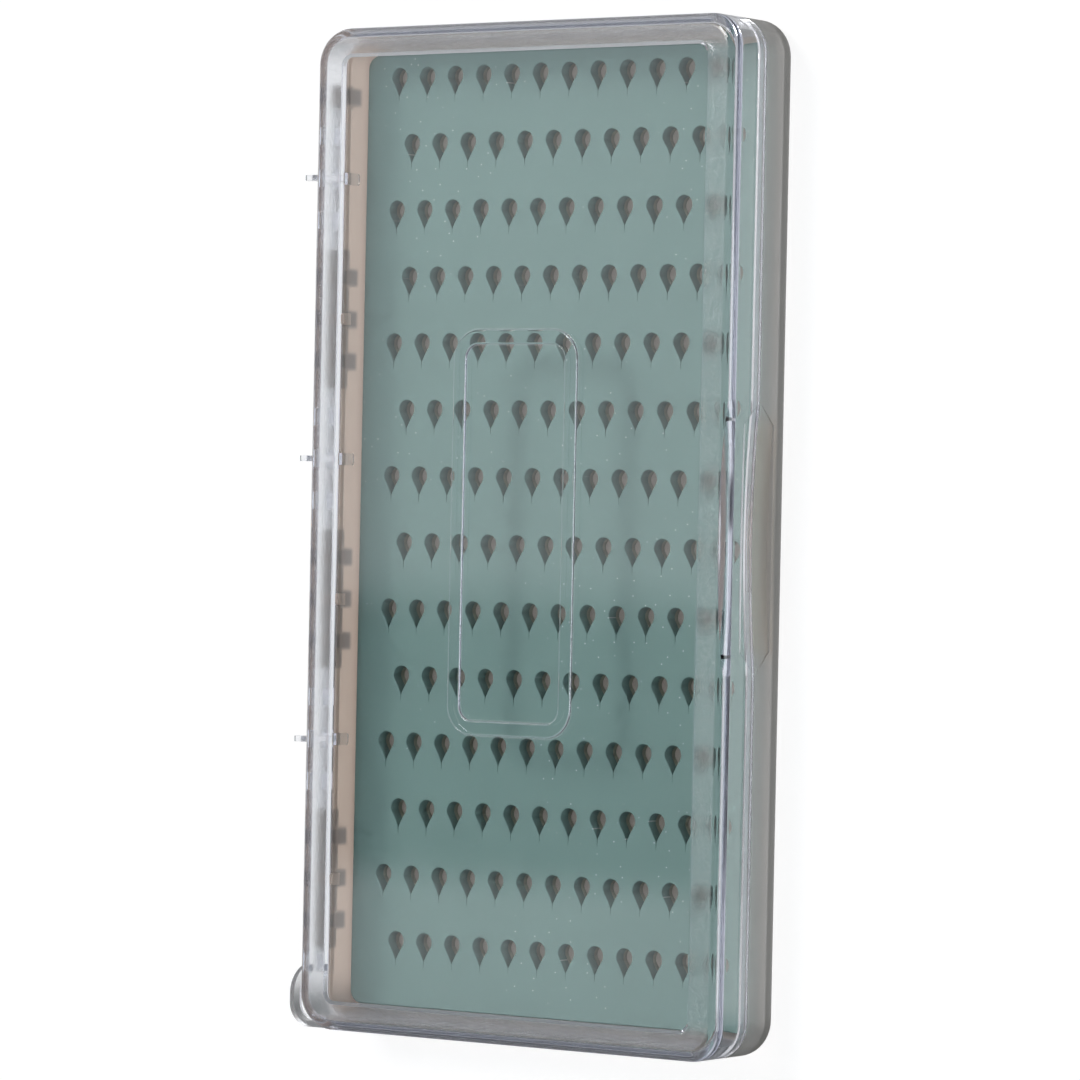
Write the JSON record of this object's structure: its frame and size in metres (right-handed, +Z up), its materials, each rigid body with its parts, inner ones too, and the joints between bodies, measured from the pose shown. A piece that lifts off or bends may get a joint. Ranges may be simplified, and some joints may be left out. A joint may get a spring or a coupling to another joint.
{
  "type": "hinged fly box",
  "caption": "Slim pocket fly box: clear lid hinged along one long side to a smoke-tinted base with a slotted silicone mat.",
  "frame": {"origin": "centre of the base's flat back face, with the box closed and lying on its back", "axes": "+Z up through the lid's face, +Y along the length, +X from the hinge towards the opening edge"},
  "size_m": [0.0926, 0.1776, 0.0184],
  "materials": {
    "smoke_plastic": "polished translucent smoke-tinted polycarbonate",
    "clear_plastic": "polished clear polycarbonate, with a fine matt texture on the border",
    "silicone": "soft satin silicone",
    "adhesive": "grey-tan foam adhesive sheet",
    "steel": "drawn stainless wire"
  },
  "bodies": {
    "base": {"base_tray": "smoke_plastic", "slot_mat": "silicone", "mat_adhesive": "adhesive", "hinge_pin": "steel"},
    "lid": {"lid_tray": "clear_plastic"}
  },
  "joints": [
    {"name": "lid_hinge", "type": "hinge", "parent": "base", "child": "lid", "pos_m": [-0.046, 0, 0.0092], "axis": [0, -1, 0], "range_deg": [0, 173]}
  ]
}
